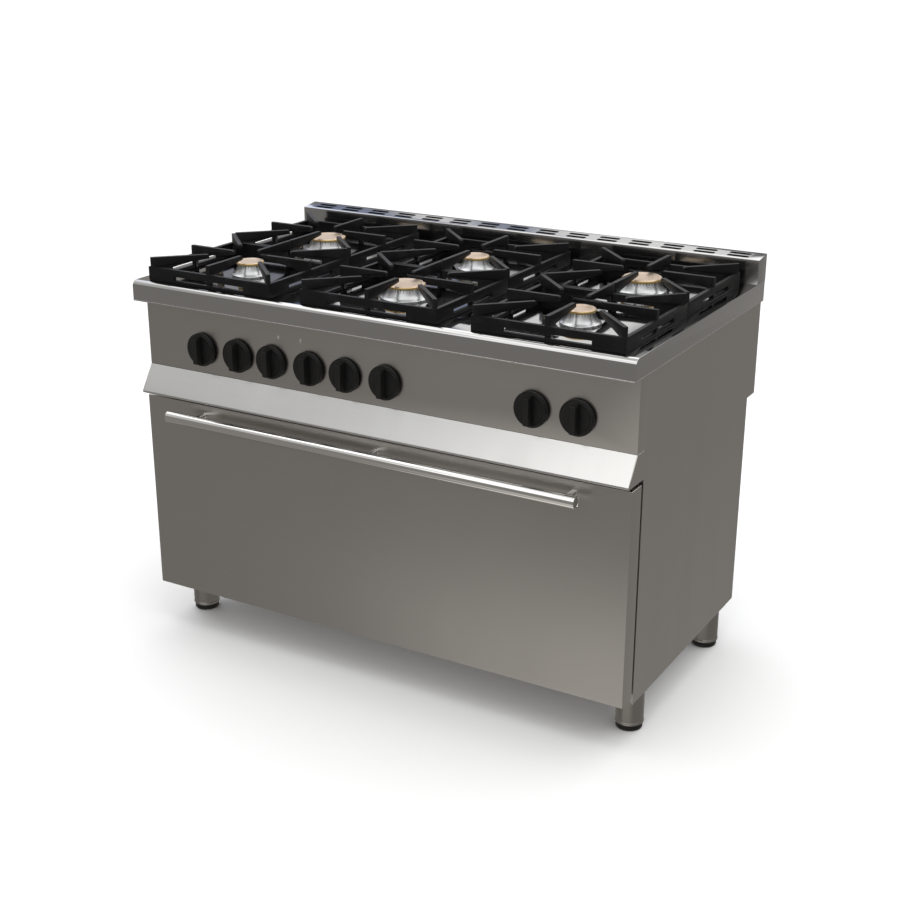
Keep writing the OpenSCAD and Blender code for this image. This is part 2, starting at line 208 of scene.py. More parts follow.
# Speckled vitreous enamel of the oven's walls
def ovenEnamel():
    graph, place = newMaterial("oven_enamel")
    speck = graph.add("ShaderNodeTexVoronoi", {}, {"Vector": place, "Scale": 260.0})
    dots = graph.spread(speck, 0.10, 0.22, 1.0, 0.0)
    sparse = graph.spread(graph.noise(place, 90.0), 0.5, 0.62)
    colour = graph.mix(dots * sparse, rgb(0.018, 0.019, 0.022), rgb(0.30, 0.31, 0.33))
    flow = graph.noise(place, 45.0, 2.0)
    return shade(graph, colour, 0.16 + flow * 0.12, graph.bump(flow, 0.12, 0.001), {"Coat Weight": 0.5})


# Turned, drawn or cast bright metal with its tool grain and faint stains
def turnedMetal(name, colour, stained, rough, grain, sides=None):
    graph, place = newMaterial(name)
    lines = graph.noise(graph.stretched(place, grain), 1.0, 3.0, 0.6)
    stain = graph.spread(graph.noise(place, 34.0, 4.0, 0.6), 0.40, 0.72)
    colour = graph.mix(stain, rgb(*colour), rgb(*stained))
    if sides:  # sideways-facing surfaces get the rim colour, and upward-facing ones keep the paler main colour
        up = graph.parts(graph.add("ShaderNodeTexCoord", {}, {}, "Normal"))[2]
        colour = graph.mix(graph.spread(up, 0.35, 0.85), rgb(*sides), colour)
    return shade(graph, colour, rough + lines * 0.10 + stain * 0.06,
                 graph.bump(lines, 0.12, 0.0004), {"Metallic": 1.0})


# Zinc-coated sheet with its spangle
def zincSheet():
    graph, place = newMaterial("zinc_sheet")
    cell = graph.add("ShaderNodeTexVoronoi", {}, {"Vector": place, "Scale": 150.0}, "Color")
    level = graph.add("ShaderNodeSeparateColor", {}, {0: cell})
    cloud = graph.noise(place, 6.0, 3.0)
    colour = graph.mix(level, rgb(0.43, 0.435, 0.44), rgb(0.50, 0.505, 0.51))
    return shade(graph, colour, 0.34 + level * 0.12 + cloud * 0.08,
                 graph.bump(level, 0.04, 0.0004), {"Metallic": 1.0})


def rawIron():
    graph, place = newMaterial("raw_cast_iron")
    sand = graph.noise(place, 700.0, 3.0, 0.7)
    blotch = graph.noise(place, 26.0, 4.0, 0.6)
    colour = graph.mix(graph.spread(blotch, 0.35, 0.7), rgb(0.07, 0.068, 0.066), rgb(0.14, 0.12, 0.10))
    return shade(graph, colour, 0.62 + blotch * 0.15, graph.bump(sand, 0.5, 0.0006), {"Metallic": 0.6})


# Moulded black phenolic with a fine spark-eroded texture
def blackPlastic():
    graph, place = newMaterial("black_plastic")
    texture = graph.noise(place, 1500.0, 2.0, 0.6)
    handled = graph.noise(place, 38.0, 3.0)
    colour = graph.mix(handled, rgb(0.0045, 0.0042, 0.0042), rgb(0.009, 0.0085, 0.0082))
    return shade(graph, colour, 0.34 + handled * 0.18,
                 graph.bump(texture, 0.18, 0.0003), {"Specular IOR Level": 0.3})


def mineralWool():
    graph, place = newMaterial("mineral_wool")
    fibre = graph.noise(graph.stretched(place, (60, 900, 900)), 1.0, 4.0, 0.7)
    clump = graph.noise(place, 30.0, 4.0, 0.6)
    colour = graph.mix(clump, rgb(0.42, 0.34, 0.16), rgb(0.68, 0.58, 0.34))
    return shade(graph, colour, 0.85 + clump * 0.1, graph.bump(fibre, 0.8, 0.002), {"Sheen Weight": 0.3})


# Braided glass-fibre rope: two crossed diagonal waves
def sealRope():
    graph, place = newMaterial("seal_rope")

    def strand(turn):
        way = graph.stretched(place, (1, 1, 1), (turn, turn, 0))
        sockets = {"Vector": way, "Scale": 180.0, "Distortion": 1.0}
        return graph.add("ShaderNodeTexWave", {}, sockets, "Fac")
    weave = strand(0.8) * strand(-0.8)
    colour = graph.mix(weave, rgb(0.05, 0.05, 0.048), rgb(0.22, 0.215, 0.20))
    return shade(graph, colour, 0.8 + weave * 0.1, graph.bump(weave, 0.6, 0.001), {})


alongX = (7, 900, 900)
steelTone = (0.47, 0.452, 0.43)
panelSteel = brushedSteel("panel_steel", steelTone, 0.26, alongX)
sideSteel = brushedSteel("side_steel", steelTone, 0.27, (900, 7, 900))
topSteel = brushedSteel("worktop_steel", (0.47, 0.465, 0.46), 0.02, alongX, 0.03, (6, 2, 5))
riserSteel = brushedSteel("riser_steel", (0.44, 0.437, 0.435), 0.10, alongX, 0.05, (6, 2, 5))
linerSteel = brushedSteel("door_liner_steel", (0.52, 0.515, 0.51), 0.20, alongX, 0.10, (5, 5, 5))
stripSteel = brushedSteel("deflector_steel", (0.62, 0.615, 0.60), 0.17, alongX, 0.10, (9, 1, 1))
tubeSteel = brushedSteel("polished_tube", (0.66, 0.65, 0.63), 0.07, alongX, 0.04)
# The hem's steel is lighter than the panel steel: a painted highlight along the apron's lower edge
hemSteelPaintedHighlight = brushedSteel("hem_steel_painted_highlight", (0.60, 0.585, 0.57), 0.38, alongX, 0.05)
legSteel = brushedSteel("leg_steel", (0.33, 0.315, 0.295), 0.08, (600, 600, 30), 0.04)
wireChrome = turnedMetal("chromed_wire", (0.70, 0.70, 0.70), (0.58, 0.58, 0.60), 0.10, (300, 300, 300))
crownAlloy = turnedMetal("crown_alloy", (0.45, 0.453, 0.458), (0.37, 0.37, 0.375), 0.22, (500, 500, 60))
capBrass = turnedMetal("cap_brass", (0.53, 0.43, 0.345), (0.47, 0.37, 0.285), 0.42, (240, 240, 240),
                       (0.60, 0.43, 0.17))
brassFitting = turnedMetal("brass_fitting", (0.72, 0.52, 0.24), (0.55, 0.38, 0.18), 0.26, (300, 300, 300))
copperTube = turnedMetal("copper_tube", (0.78, 0.42, 0.27), (0.55, 0.28, 0.18), 0.24, (200, 200, 200))
pilotBrass = turnedMetal("heat_darkened_brass", (0.12, 0.10, 0.08), (0.07, 0.06, 0.05), 0.38, (300, 300, 300))
studMetal = turnedMetal("dull_stud", (0.62, 0.62, 0.60), (0.55, 0.55, 0.53), 0.48, (300, 300, 300))
castBlack, cavityEnamel, zinc, iron = castEnamel(), ovenEnamel(), zincSheet(), rawIron()
plastic, wool, rope = blackPlastic(), mineralWool(), sealRope()

nodeFinish = [
    (zinc, ["base_frame", "hob_rails", "flue_duct", "hinge_brackets", "door_hinge_ears", "gas_manifold",
            "gas_inlet_pipe", "front_frame", "back_panel"]),
    (iron, ["burner_cups", "oven_burner"]),
    (brassFitting, ["gas_taps", "pilot_burners"] + [f"spindle_{i}" for i in range(1, 9)]),
    (copperTube, ["supply_tubes"]),
    (wool, ["oven_insulation", "door_insulation"]),
    (cavityEnamel, ["oven_liner", "oven_sole_plate"]),
    (wireChrome, ["oven_rack", "rack_guides"]),
    (panelSteel, ["control_panel", "door_outer"]),
    (linerSteel, ["door_inner"]),
    (sideSteel, ["side_panel_left", "side_panel_right"]),
    (topSteel, ["hob_top", "fasteners"]),
    (riserSteel, ["flue_riser"]),
    (stripSteel, ["heat_deflector"]),
    (tubeSteel, ["door_handle"]),
    (legSteel, ["leg_tubes"]),
    (crownAlloy, ["burner_heads"]),
    (capBrass, ["burner_caps"]),
    (rope, ["door_seal"]),
    (plastic, knobNames + footNames),
    (castBlack, grateNames),
]
for finishMaterial, names in nodeFinish:
    for name in names:
        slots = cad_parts[name].data.materials
        slots.clear()
        slots.append(finishMaterial)
print("materials made:", len(bpy.data.materials))


# Makes a finished mesh into a piece that rides on a body and stands for CAD nodes
def piece(name, mesh, material, body, stands=(), angle=35):
    mesh.name = name
    mesh.materials.clear()
    mesh.materials.append(material)
    for polygon in mesh.polygons:
        polygon.use_smooth = True
    mesh.set_sharp_from_angle(angle=math.radians(angle))
    made = placed(name, mesh)
    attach(made, body)
    if stands:
        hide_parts(*stands)
    return made


def meshFrom(bm, recalculate=True):
    if recalculate:
        bmesh.ops.recalc_face_normals(bm, faces=bm.faces)
    mesh = bpy.data.meshes.new("part")
    bm.to_mesh(mesh)
    bm.free()
    return mesh


def joined(*meshes):
    bm = bmesh.new()
    for mesh in meshes:
        bm.from_mesh(mesh)
    return meshFrom(bm, False)


def moved(mesh, shift=(0, 0, 0), turn=None):
    copy = mesh.copy()
    copy.transform(Matrix.Translation(shift) @ (turn or Matrix()))
    return copy


def turnAbout(axis, degrees):
    return Matrix.Rotation(math.radians(degrees), 4, axis)


def evaluated(mesh, setUp):
    holder = placed("holder", mesh)
    setUp(holder)
    result = bpy.data.meshes.new_from_object(holder.evaluated_get(bpy.context.evaluated_depsgraph_get()))
    bpy.data.objects.remove(holder)
    return result


def withModifier(mesh, kind, **settings):
    def setUp(holder):
        modifier = holder.modifiers.new("made", kind)
        for key, value in settings.items():
            setattr(modifier, key, value)
    return evaluated(mesh, setUp)


def thickened(mesh, wall):
    return withModifier(mesh, "SOLIDIFY", thickness=wall, offset=-1, use_even_offset=True)


def bevelled(mesh, width, segments=2, angle=40):
    return withModifier(mesh, "BEVEL", width=width, segments=segments, limit_method="ANGLE",
                        angle_limit=math.radians(angle), use_clamp_overlap=True)


def carved(mesh, cutter, operation="DIFFERENCE"):
    tool = placed("tool", cutter)
    result = withModifier(mesh, "BOOLEAN", operation=operation, solver="EXACT", object=tool)
    bpy.data.objects.remove(tool)
    return result


def cubeBetween(low, high):
    bm = bmesh.new()
    bmesh.ops.create_cube(bm, size=1.0)
    low, high = Vector(low), Vector(high)
    for vert in bm.verts:
        vert.co = (high + low) / 2 + Vector([a * b for a, b in zip(vert.co, high - low)])
    bm.normal_update()
    return bm


# A closed block with rounded edges
def block(low, high, radius=0.0, segments=2):
    bm = cubeBetween(low, high)
    if radius:
        bmesh.ops.bevel(bm, geom=bm.edges[:], offset=radius, segments=segments, affect="EDGES", profile=0.5,
                        clamp_overlap=True)
    return meshFrom(bm)


# Bends a sheet mesh at its folds, and gives it its wall behind the face that looks outward
def bent(bm, folds, radius, wall, centre, segments=3):
    bmesh.ops.bevel(bm, geom=folds, offset=radius, segments=segments, affect="EDGES", profile=0.5)
    bmesh.ops.recalc_face_normals(bm, faces=bm.faces)
    facing = sum(f.normal.dot(f.calc_center_median() - centre) * f.calc_area() for f in bm.faces)
    if facing < 0:
        bmesh.ops.reverse_faces(bm, faces=bm.faces)
    return thickened(meshFrom(bm, False), wall)


# A folded tray: a block without its open sides; one edge may have a bigger roll
def tray(low, high, openSides, radius, wall, rollSide=None, rollRadius=0.0):
    bm = cubeBetween(low, high)
    gone = [f for f in bm.faces if any(f.normal.dot(Vector(side)) > 0.9 for side in openSides)]
    bmesh.ops.delete(bm, geom=gone, context="FACES_ONLY")
    bmesh.ops.delete(bm, geom=[e for e in bm.edges if not e.link_faces], context="EDGES")
    if rollSide:
        rolled = [e for e in bm.edges if len(e.link_faces) == 2
                  and (e.link_faces[0].normal + e.link_faces[1].normal - Vector(rollSide)).length < 0.1]
        bmesh.ops.bevel(bm, geom=rolled, offset=rollRadius, segments=12, affect="EDGES", profile=0.5)
        bm.normal_update()
    folds = [e for e in bm.edges if len(e.link_faces) == 2 and e.calc_face_angle(0) > 1.0]
    return bent(bm, folds, radius, wall, (Vector(low) + Vector(high)) / 2)


# A flat sheet with flanges folded along some of its edges: (edge number, which way and how far)
def flanged(outline, flanges, radius, wall, centre):
    bm = bmesh.new()
    corners = [bm.verts.new(point) for point in outline]
    bm.faces.new(corners)
    folds = []
    for i, shift in flanges:
        first, last = corners[i], corners[(i + 1) % len(corners)]
        shift = Vector(shift)
        mitre = (last.co - first.co).normalized() * (shift.length + radius)
        near = bm.verts.new(first.co + shift + mitre)
        far = bm.verts.new(last.co + shift - mitre)
        bm.faces.new((first, near, far, last))
        folds.append(bm.edges.get((first, last)))
    return bent(bm, folds, radius, wall, centre)


# A strip folded along X from a (y, z) line
def foldedStrip(line, x0, x1, radius, wall, centre):
    bm = bmesh.new()
    rows = [(bm.verts.new((x0, y, z)), bm.verts.new((x1, y, z))) for y, z in line]
    for (a, b), (c, d) in zip(rows, rows[1:]):
        bm.faces.new((a, b, d, c))
    folds = [bm.edges.get(row) for row in rows[1:-1]]
    return bent(bm, folds, radius, wall, centre)


# A plate with straight sides, from points in one plane and its thickness as a vector
def prism(points, depth):
    bm = bmesh.new()
    near, far = [[bm.verts.new(Vector(point) + Vector(shift)) for point in points]
                 for shift in ((0, 0, 0), depth)]
    bm.faces.new(near)
    bm.faces.new(far[::-1])
    for i in range(len(points)):
        bm.faces.new((near[i - 1], near[i], far[i], far[i - 1]))
    return meshFrom(bm)


# Turns (radius, height) points about Z; a line that starts or ends on the axis closes there
def turned(profile, sides=48, closed=False):
    bm = bmesh.new()
    rings = []
    for radius, height in profile:
        angles = [2 * math.pi * i / sides for i in range(1 if radius < 1e-7 else sides)]
        rings.append([bm.verts.new((radius * math.cos(a), radius * math.sin(a), height)) for a in angles])
    pairs = list(zip(rings, rings[1:])) + ([(rings[-1], rings[0])] if closed else [])
    for lower, upper in pairs:
        for i in range(sides):
            j = (i + 1) % sides
            corners = [ring[k % len(ring)] for ring, k in ((lower, i), (lower, j), (upper, j), (upper, i))]
            corners = [c for k, c in enumerate(corners) if c not in corners[:k]]
            if len(corners) > 2:
                bm.faces.new(corners)
    return meshFrom(bm)


# A plain rod about Z, for holes and wires
def rod(radius, low, high, sides):
    return turned([(0, low), (radius, low), (radius, high), (0, high)], sides)


# Rounds the corners of a (radius, height) line: points are (r, h) or (r, h, corner radius)
def softened(points, steps=4):
    result = []
    for i, point in enumerate(points):
        here = Vector(point[:2])
        if len(point) < 3 or i in (0, len(points) - 1):
            result.append(here)
            continue
        before = Vector(points[i - 1][:2]) - here
        after = Vector(points[i + 1][:2]) - here
        reach = min(point[2], before.length * 0.49, after.length * 0.49)
        start, end = here + before.normalized() * reach, here + after.normalized() * reach
        for k in range(steps + 1):
            t = k / steps
            result.append(start * (1 - t) ** 2 + here * 2 * t * (1 - t) + end * t * t)
    return [(p.x, p.y) for p in result]


# Sweeps a closed (across, up) outline round a closed path in the XZ plane
def sweptRing(path, outline, y):
    bm = bmesh.new()
    count = len(path)
    rings = []
    for i in range(count):
        here, nextPoint, lastPoint = Vector(path[i]), Vector(path[(i + 1) % count]), Vector(path[i - 1])
        tangent = (nextPoint - lastPoint).normalized()
        side = Vector((tangent.y, -tangent.x))
        rings.append([bm.verts.new((here.x + side.x * a, y + b, here.y + side.y * a)) for a, b in outline])
    for i in range(count):
        for k in range(len(outline)):
            m = (k + 1) % len(outline)
            bm.faces.new((rings[i - 1][k], rings[i - 1][m], rings[i][m], rings[i][k]))
    return meshFrom(bm)


def roundedRectangle(halfX, halfZ, centreZ, radius, steps=8):
    points = []
    for signX, signZ, start in ((1, 1, 0), (-1, 1, 90), (-1, -1, 180), (1, -1, 270)):
        for k in range(steps + 1):
            angle = math.radians(start + 90 * k / steps)
            points.append((signX * (halfX - radius) + radius * math.cos(angle),
                           centreZ + signZ * (halfZ - radius) + radius * math.sin(angle)))
    return points


# A geometry tree with named inputs; what the maker returns is realized and given its material
def growTree(name, inputs, make):
    tree = bpy.data.node_groups.new(name, "GeometryNodeTree")
    kinds = {float: "NodeSocketFloat", int: "NodeSocketInt", bpy.types.Object: "NodeSocketObject"}
    tree.interface.new_socket(name="Geometry", in_out="INPUT", socket_type="NodeSocketGeometry")
    for key, kind in inputs.items():
        tree.interface.new_socket(name=key, in_out="INPUT", socket_type=kinds[kind])
    tree.interface.new_socket(name="Finish", in_out="INPUT", socket_type="NodeSocketMaterial")
    tree.interface.new_socket(name="Geometry", in_out="OUTPUT", socket_type="NodeSocketGeometry")
    graph = Graph(tree)
    entry = tree.nodes.new("NodeGroupInput")
    given = {socket.name: Link(graph, socket) for socket in entry.outputs if socket.name}
    real = graph.add("GeometryNodeRealizeInstances", {}, {"Geometry": make(graph, given)})
    finished = graph.add("GeometryNodeSetMaterial", {}, {"Geometry": real, "Material": given["Finish"]})
    graph.add("NodeGroupOutput", {}, {"Geometry": finished})
    return tree


# Runs a tree on a mesh and keeps the result as a plain mesh
def grown(tree, mesh, values, finish):
    def setUp(holder):
        modifier = holder.modifiers.new("grown", "NODES")
        modifier.node_group = tree
        for socket in tree.interface.items_tree:
            if socket.in_out == "INPUT" and socket.name in values:
                modifier[socket.identifier] = values[socket.name]
            elif socket.name == "Finish":
                modifier[socket.identifier] = finish
    return evaluated(mesh, setUp)


def pointsMesh(points):
    mesh = bpy.data.meshes.new("points")
    mesh.from_pydata([tuple(point) for point in points], [], [])
    return mesh


# Worktop: a deep-folded pan with a rolled front edge, a hemmed apron and its openings
worktopSizes = dict(millimetres(bend=1.3, wall=2.0, roll=14.0, hem=1.5, hemProud=0.3, burnerHole=32,
                                pilotHole=7, pilotReach=72, flueX=560, flueFront=12, flueBack=15),
                    pilotAngles=(220, 245))


def pilotSpots():
    reach = worktopSizes["pilotReach"]
    for spot in burnerSpots:
        for degrees in worktopSizes["pilotAngles"]:
            angle = math.radians(degrees)
            yield spot + Vector((reach * math.cos(angle), reach * math.sin(angle), 0))


def makeWorktop():
    s = worktopSizes
    proud = s["hemProud"]
    low = hobLow + Vector((proud, proud, 0))
    high = hobHigh - Vector((proud, proud, 0))
    pan = tray(low, high, [(0, 0, -1)], s["bend"], s["wall"], (0, -1, 1), s["roll"])

    holes = [(spot, s["burnerHole"]) for spot in burnerSpots]
    holes += [(spot, s["pilotHole"]) for spot in pilotSpots()]
    cutters = [moved(rod(radius, -through, through, 40), spot) for spot, radius in holes]
    riserLow, riserHigh = at["flue_riser"]
    cutters.append(block((-s["flueX"], riserLow.y + s["flueFront"], hobZ - through / 2),
                         (s["flueX"], riserHigh.y - s["flueBack"], hobZ + through / 2)))
    pan = carved(pan, joined(*cutters))
    thick, z = 2 * s["hem"], hobLow.z
    runs = [(hobLow.x, hobHigh.x, hobLow.y + thick)]
    runs += [(x, x + thick, hobHigh.y) for x in (hobLow.x, hobHigh.x - thick)]
    hems = [block((a, hobLow.y, z), (b, y, z + thick), s["hem"] * 0.9, 3) for a, b, y in runs]
    piece("worktop", pan, topSteel, "range", ["hob_top"])
    # the hem's lighter steel is a painted highlight line
    piece("worktop_hem", joined(*hems), hemSteelPaintedHighlight, "range", ["hob_top"])


# Side panels: flat sheets with flanges folded in along the front, the bottom and the back
sideSizes = millimetres(bend=1.3, wall=1.5, front=20, bottom=20, back=12)


def makeSides():
    s = sideSizes
    for name, side in (("side_panel_left", -1), ("side_panel_right", 1)):
        low, high = at[name]
        x = high.x if side > 0 else low.x
        stepZ, backY = at["back_panel"][1].z, at["back_panel"][1].y
        topOfFlange = at["heat_deflector"][1].z
        outline = [(x, low.y, low.z), (x, backY, low.z), (x, backY, stepZ), (x, high.y, stepZ),
                   (x, high.y, high.z), (x, low.y, high.z), (x, low.y, topOfFlange)]
        inward = -side
        flanges = [(0, (inward * s["bottom"], 0, 0)), (1, (inward * s["back"], 0, 0)),
                   (6, (inward * s["front"], 0, 0))]
        mesh = flanged(outline, flanges, s["bend"], s["wall"], Vector((0, 0, 0.45)))
        piece("folded_" + name, mesh, sideSteel, "range", [name])


# Control panel: a shallow pan with a hole behind each knob
panelSizes = millimetres(bend=1.3, wall=1.5, hole=7)


def makeControlPanel():
    s = panelSizes
    low, high = at["control_panel"]
    pan = tray(low, high, [(0, 1, 0), (0, 0, 1)], s["bend"], s["wall"])
    cutters = []
    for name in knobNames:
        place = (middle(name).x, low.y, middle(name).z)
        cutters.append(moved(rod(s["hole"], -through, through, 32), place, turnAbout("X", 90)))
    pan = carved(pan, joined(*cutters))
    piece("panel_fascia", pan, panelSteel, "range", ["control_panel"])


# Heat deflector: a sloping strip with a rounded nose, closed by a plate at each end
deflectorSizes = millimetres(nose=1.8, wall=1.5, noseHeight=4)


def makeDeflector():
    s = deflectorSizes
    low, high = at["heat_deflector"]
    panelY = at["control_panel"][0].y
    line = [(panelY, high.z), (low.y, low.z + s["noseHeight"]), (low.y, low.z), (high.y, low.z)]
    strip = foldedStrip(line, low.x + s["wall"], high.x - s["wall"], s["nose"], s["wall"],
                        Vector((0, high.y, high.z)))
    ends = []
    for x, depth in ((low.x, s["wall"]), (high.x, -s["wall"])):
        nose = s["nose"]
        plate = [(x, panelY, high.z), (x, low.y, low.z + s["noseHeight"]), (x, low.y, low.z + nose),
                 (x, low.y + nose, low.z), (x, high.y, low.z), (x, high.y, high.z)]
        ends.append(bevelled(prism(plate, (depth, 0, 0)), 0.3 * mm, 1))
    piece("deflector_strip", strip, stripSteel, "range", ["heat_deflector"])
    piece("deflector_ends", joined(*ends), sideSteel, "range", ["heat_deflector"])


# Oven door: a folded pan, and an embossed inner sheet inside the seal
doorSizes = millimetres(bend=1.3, wall=1.5, fieldRise=4.5, fieldHalfX=470, fieldHalfZ=172, fieldCorner=30,
                        slope=10, earInset=18, earHalf=8, earHeight=32, rope=6, ropeCorner=24)


def makeDoor():
    s = doorSizes
    low, high = at["door_outer"]
    pan = tray(low, high, [(0, 1, 0)], s["bend"], s["wall"])
    earX, half = at["hinge_brackets"][1].x - s["earInset"], s["earHalf"]

    def notches(start, end):
        return joined(*[block((x - half, *start), (x + half, *end)) for x in (-earX, earX)])
    cut = notches((low.y + 18 * mm, low.z - 1 * mm), (high.y + 2 * mm, low.z + 3 * mm))
    piece("door_pan", carved(pan, cut), panelSteel, "door", ["door_outer"])

    innerLow, innerHigh = at["door_inner"]
    centreZ = (innerLow.z + innerHigh.z) / 2
    rings = [(roundedRectangle(innerHigh.x, (innerHigh.z - innerLow.z) / 2, centreZ, 4 * mm), innerHigh.y),
             (roundedRectangle(s["fieldHalfX"], s["fieldHalfZ"], centreZ, s["fieldCorner"]), innerHigh.y),
             (roundedRectangle(s["fieldHalfX"] - s["slope"], s["fieldHalfZ"] - s["slope"], centreZ,
                               s["fieldCorner"] - s["slope"]), innerHigh.y + s["fieldRise"])]
    bm = bmesh.new()
    made = [[bm.verts.new((x, y, z)) for x, z in ring] for ring, y in rings]
    for outer, inner in zip(made, made[1:]):
        for i in range(len(outer)):
            bm.faces.new((outer[i - 1], outer[i], inner[i], inner[i - 1]))
    bm.faces.new(made[-1])
    folds = [bm.edges.get((ring[i - 1], ring[i])) for ring in made[1:] for i in range(len(ring))]
    sheet = bent(bm, folds, 2.0 * mm, s["wall"], Vector((0, -1, centreZ)))
    cut = notches((low.y, low.z), (high.y + 0.1, low.z + s["earHeight"]))
    piece("door_liner", carved(sheet, cut), linerSteel, "door", ["door_inner"])

    sealLow, sealHigh = at["door_seal"]
    half = s["rope"]
    path = roundedRectangle(sealHigh.x - half, (sealHigh.z - sealLow.z) / 2 - half,
                            (sealHigh.z + sealLow.z) / 2, s["ropeCorner"])
    thick = (sealHigh.y - sealLow.y) / 2
    outline = [(half * math.cos(a), thick * math.sin(a)) for a in [2 * math.pi * k / 14 for k in range(14)]]
    seal = sweptRing(path, outline, (sealHigh.y + sealLow.y) / 2)
    piece("door_rope_seal", seal, rope, "door", ["door_seal"])


# Handle: a tube with capped ends on three turned posts, welded at the tube and footed on the door
handleSizes = dict(millimetres(post=6, weld=7, foot=7.2, capRim=2), posts=(-437 * mm, 18 * mm, 473 * mm))


def makeHandle():
    s = handleSizes
    low, high = at["door_handle"]
    radius = (high.z - low.z) / 2
    centreY, centreZ = low.y + radius, (low.z + high.z) / 2
    half = (high.x - low.x) / 2
    rim = s["capRim"]
    line = softened([(0, -half + 0.8 * mm), (radius - rim, -half + 0.8 * mm), (radius - rim * 0.7, -half),
                     (radius, -half, 0.8 * mm), (radius, half, 0.8 * mm), (radius - rim * 0.7, half),
                     (radius - rim, half - 0.8 * mm), (0, half - 0.8 * mm)], 3)
    parts = [moved(turned(line, 56), ((low.x + high.x) / 2, centreY, centreZ), turnAbout("Y", 90))]
    doorY = at["door_outer"][0].y
    start, end = centreY + radius - 1.5 * mm, doorY
    post = softened([(0, 0), (s["weld"], 0), (s["weld"], 1.2 * mm, 0.6 * mm), (s["post"], 2.6 * mm, 1 * mm),
                     (s["post"], end - start - 2 * mm, 1 * mm), (s["foot"], end - start - 0.8 * mm, 0.6 * mm),
                     (s["foot"], end - start), (0, end - start)], 4)
    for x in s["posts"]:
        parts.append(moved(turned(post, 32), (x, start, centreZ), turnAbout("X", -90)))
    piece("handle_bar", joined(*parts), tubeSteel, "door", ["door_handle"])


# Flue riser: a folded cover whose two rows of slots come from a tree
riserSizes = dict(millimetres(bend=0.9, wall=1.5, pitch=78, rowPitch=17, length=50, width=11, slope=6,
                              rowsBack=23), count=15)


# A row of points along X, centred, and the same row again beside or above it
def rowOf(graph, given, y=0.0, z=0.0):
    start = graph.vector(given["pitch"] * (given["count"] - 1) * -0.5, y, z)
    sockets = {"Count": given["count"], "Start Location": start, "Offset": graph.vector(given["pitch"])}
    return graph.add("GeometryNodeMeshLine", {}, sockets)


def doubled(graph, row, step):
    second = graph.add("GeometryNodeTransform", {}, {"Geometry": row, "Translation": step})
    return graph.add("GeometryNodeJoinGeometry", {}, {"Geometry": [row, second]})


# A solid bar with rounded ends along X, for cutting slots
def slotBar(graph, length, width, depth):
    flat = graph.add("GeometryNodeCurvePrimitiveQuadrilateral", {}, {"Width": length, "Height": width})
    flat = graph.add("GeometryNodeFilletCurve", {"mode": "POLY"},
                     {"Curve": flat, "Radius": width * 0.499, "Count": 5})
    flat = graph.add("GeometryNodeFillCurve", {"mode": "NGONS"}, {"Curve": flat})
    sockets = {"Mesh": flat, "Offset Scale": depth, "Individual": False}
    tall = graph.add("GeometryNodeExtrudeMesh", {}, sockets)
    under = graph.add("GeometryNodeFlipFaces", {}, {"Mesh": flat})
    both = graph.add("GeometryNodeJoinGeometry", {}, {"Geometry": [tall, under]})
    return graph.add("GeometryNodeMergeByDistance", {}, {"Geometry": both, "Distance": 1e-6})


def slottedTree():
    def make(graph, given):
        bar = slotBar(graph, given["length"], given["width"], 0.02)
        row = rowOf(graph, given, given["rowPitch"] * -0.5, given["height"] - 0.01)
        rows = doubled(graph, row, graph.vector(y=given["rowPitch"]))
        middleOfRows = graph.vector(y=given["centreY"])
        rows = graph.add("GeometryNodeTransform", {}, {"Geometry": rows, "Translation": middleOfRows})
        bars = graph.add("GeometryNodeInstanceOnPoints", {}, {"Points": rows, "Instance": bar})
        bars = graph.add("GeometryNodeRealizeInstances", {}, {"Geometry": bars})
        return graph.add("GeometryNodeMeshBoolean", {"operation": "DIFFERENCE", "solver": "EXACT"},
                         {"Mesh 1": given["Geometry"], "Mesh 2": bars})
    inputs = {"count": int, "pitch": float, "rowPitch": float, "length": float, "width": float,
              "centreY": float, "height": float}
    return growTree("slotted_cover", inputs, make)


def makeRiser():
    s = riserSizes
    low, high = at["flue_riser"]
    cover = tray(low, high - Vector((0, 0, s["slope"])), [(0, 0, -1)], s["bend"], s["wall"])
    for vert in cover.vertices:
        share = (vert.co.z - low.z) / (high.z - s["slope"] - low.z)
        vert.co.z += share * s["slope"] * (vert.co.y - low.y) / (high.y - low.y)
    values = {key: s[key] for key in ("count", "pitch", "rowPitch", "length", "width")}
    values.update(centreY=low.y + s["rowsBack"], height=high.z - 3 * mm)
    mesh = grown(slottedTree(), cover, values, riserSteel)
    piece("flue_cover", mesh, riserSteel, "range", ["flue_riser"])


# Legs: tubes with a bright ring at the bottom; feet: black pads on their stems
legSizes = millimetres(ringHeight=5, neck=0.7, bore=6.1)
footSizes = dict(millimetres(grip=1.4, stem=6, stemTop=58, thread=0.5), grips=24, turns=14)


def makeLegs():
    s = legSizes
    low, high = at["leg_tubes"]
    tubes = []
    for name in footNames:
        spot = middle(name)
        radius = high.x - abs(spot.x)
        line = softened([
            (s["bore"], low.z + 2 * mm), (radius - 4 * mm, low.z + 2 * mm), (radius - 3 * mm, low.z),
            (radius, low.z, 1.2 * mm), (radius, low.z + s["ringHeight"], 1 * mm),
            (radius - s["neck"], low.z + s["ringHeight"] + 1 * mm, 0.4 * mm), (radius - s["neck"], high.z),
            (s["bore"], high.z)], 4)
        tubes.append(moved(turned(line, 64, closed=True), (spot.x, spot.y, 0)))
    piece("legs", joined(*tubes), legSteel, "range", ["leg_tubes"])


